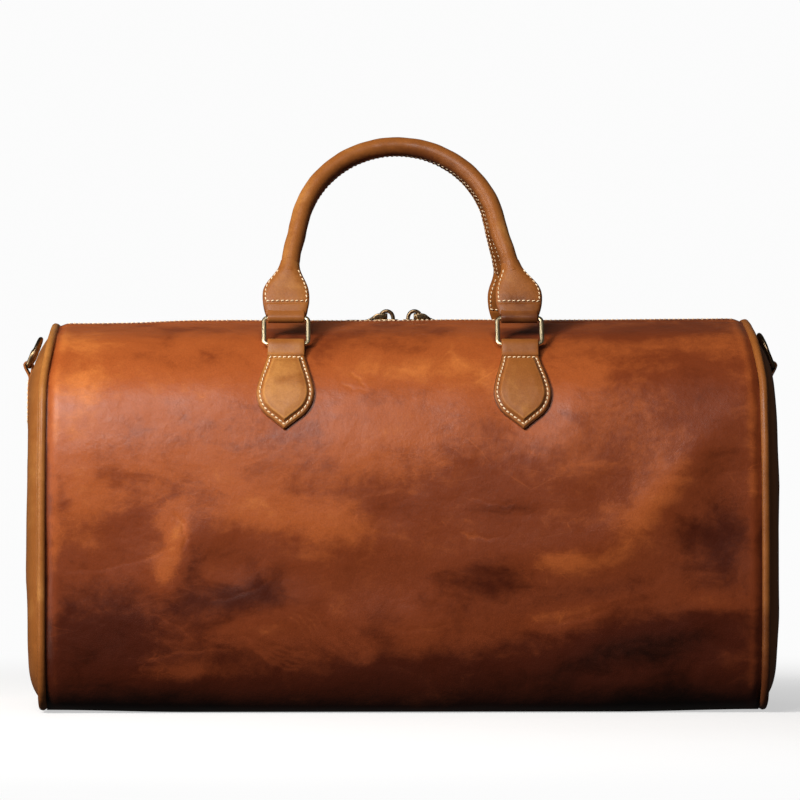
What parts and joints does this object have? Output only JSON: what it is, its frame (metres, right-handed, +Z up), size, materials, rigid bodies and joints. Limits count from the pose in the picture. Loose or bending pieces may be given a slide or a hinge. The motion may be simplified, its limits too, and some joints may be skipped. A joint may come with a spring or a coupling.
{
  "type": "duffel bag",
  "caption": "Leather weekend duffel bag with piped end panels, two rolled handles on metal rings, a two-way zip and a D-ring on each end.",
  "frame": {"origin": "middle of the flat base, at floor level", "axes": "+Z up, +X along the length to the right seen from the front, the front faces -Y"},
  "size_m": [0.5398, 0.242, 0.4049],
  "materials": {
    "body_leather": "waxed pull-up leather, mottled tan to dark red-brown",
    "trim_leather": "waxed tan leather with burnished edges and cream stitching",
    "piping_leather": "dark red-brown leather roll",
    "lining": "plain woven cotton",
    "zip_tape": "herringbone woven tape",
    "zip_teeth": "antique brass",
    "zip_bronze": "antique brass, rubbed bright on the edges",
    "ring_brass": "satin brass",
    "cord_filler": "twisted cotton cord",
    "padding": "dense felt",
    "board": "pressed fibre board"
  },
  "bodies": {
    "bag": {"base_panel": "body_leather", "base_board": "board", "lining_base": "lining", "front_panel": "body_leather", "back_panel": "body_leather", "lining_front": "lining", "lining_back": "lining", "end_panel_left": "body_leather", "end_panel_right": "body_leather", "lining_end_left": "lining", "lining_end_right": "lining", "piping_left": "piping_leather", "piping_right": "piping_leather", "piping_cord_left": "cord_filler", "piping_cord_right": "cord_filler", "chape_front_left": "trim_leather", "chape_front_right": "trim_leather", "chape_back_left": "trim_leather", "chape_back_right": "trim_leather", "chape_padding_front_left": "padding", "chape_padding_front_right": "padding", "chape_padding_back_left": "padding", "chape_padding_back_right": "padding", "d_ring_tab_left": "trim_leather", "d_ring_tab_right": "trim_leather", "zip_stop_left": "zip_bronze", "zip_stop_right": "zip_bronze"},
    "front_mouth": {"front_panel_mouth_flap": "body_leather", "lining_mouth_front": "lining", "zip_tape_front": "zip_tape", "zip_teeth_front": "zip_teeth"},
    "back_mouth": {"back_panel_mouth_flap": "body_leather", "lining_mouth_back": "lining", "zip_tape_back": "zip_tape", "zip_teeth_back": "zip_teeth"},
    "front_handle": {"handle_leather_front": "trim_leather", "handle_core_front": "cord_filler"},
    "back_handle": {"handle_leather_back": "trim_leather", "handle_core_back": "cord_filler"},
    "front_ring_left": {"handle_ring_front_left": "ring_brass"},
    "front_ring_right": {"handle_ring_front_right": "ring_brass"},
    "back_ring_left": {"handle_ring_back_left": "ring_brass"},
    "back_ring_right": {"handle_ring_back_right": "ring_brass"},
    "left_slider": {"zip_slider_left": "zip_bronze"},
    "right_slider": {"zip_slider_right": "zip_bronze"},
    "left_pull": {"zip_pull_left": "zip_bronze"},
    "right_pull": {"zip_pull_right": "zip_bronze"},
    "left_d_ring": {"d_ring_left": "ring_brass"},
    "right_d_ring": {"d_ring_right": "ring_brass"}
  },
  "joints": [
    {"name": "front_ring_left_tilt", "type": "hinge", "parent": "bag", "child": "front_ring_left", "pos_m": [-0.082, -0.07943, 0.25769], "axis": [1, 0, 0], "range_deg": [0, 110]},
    {"name": "front_ring_right_tilt", "type": "hinge", "parent": "bag", "child": "front_ring_right", "pos_m": [0.082, -0.07943, 0.25769], "axis": [1, 0, 0], "range_deg": [0, 110]},
    {"name": "front_handle_swing", "type": "hinge", "parent": "front_ring_left", "child": "front_handle", "pos_m": [-0.082, -0.07009, 0.27594], "axis": [1, 0, 0], "range_deg": [0, 70]},
    {"name": "front_mouth_open", "type": "hinge", "parent": "bag", "child": "front_mouth", "pos_m": [0, -0.069, 0.26], "axis": [1, 0, 0], "range_deg": [0, 45], "deforming": ["zip_tape_front", "zip_teeth_front"]},
    {"name": "back_ring_left_tilt", "type": "hinge", "parent": "bag", "child": "back_ring_left", "pos_m": [-0.082, 0.07943, 0.25769], "axis": [-1, 0, 0], "range_deg": [0, 110]},
    {"name": "back_ring_right_tilt", "type": "hinge", "parent": "bag", "child": "back_ring_right", "pos_m": [0.082, 0.07943, 0.25769], "axis": [-1, 0, 0], "range_deg": [0, 110]},
    {"name": "back_handle_swing", "type": "hinge", "parent": "back_ring_left", "child": "back_handle", "pos_m": [-0.082, 0.07009, 0.27594], "axis": [-1, 0, 0], "range_deg": [0, 70]},
    {"name": "back_mouth_open", "type": "hinge", "parent": "bag", "child": "back_mouth", "pos_m": [0, 0.069, 0.26], "axis": [-1, 0, 0], "range_deg": [0, 45], "deforming": ["zip_tape_back", "zip_teeth_back"]},
    {"name": "left_slider_slide", "type": "slide", "parent": "bag", "child": "left_slider", "axis": [-1, 0, 0], "range_m": [0, 0.2]},
    {"name": "right_slider_slide", "type": "slide", "parent": "bag", "child": "right_slider", "axis": [1, 0, 0], "range_m": [0, 0.2]},
    {"name": "left_pull_swing", "type": "hinge", "parent": "left_slider", "child": "left_pull", "pos_m": [-0.01, 0, 0.27773], "axis": [0, 1, 0], "range_deg": [0, 100]},
    {"name": "right_pull_swing", "type": "hinge", "parent": "right_slider", "child": "right_pull", "pos_m": [0.01, 0, 0.27773], "axis": [0, -1, 0], "range_deg": [0, 100]},
    {"name": "left_d_ring_swing", "type": "hinge", "parent": "bag", "child": "left_d_ring", "pos_m": [-0.26615, 0, 0.24295], "axis": [0, -1, 0], "range_deg": [0, 165]},
    {"name": "right_d_ring_swing", "type": "hinge", "parent": "bag", "child": "right_d_ring", "pos_m": [0.26615, 0, 0.24295], "axis": [0, 1, 0], "range_deg": [0, 165]}
  ],
  "couplings": [
    {"joint": "front_ring_right_tilt", "follows": "front_ring_left_tilt", "ratio": 1},
    {"joint": "back_ring_right_tilt", "follows": "back_ring_left_tilt", "ratio": 1},
    {"joint": "back_mouth_open", "follows": "front_mouth_open", "ratio": 1},
    {"joint": "left_slider_slide", "follows": "front_mouth_open", "m_per_rad": 0.25465},
    {"joint": "right_slider_slide", "follows": "front_mouth_open", "m_per_rad": 0.25465}
  ]
}
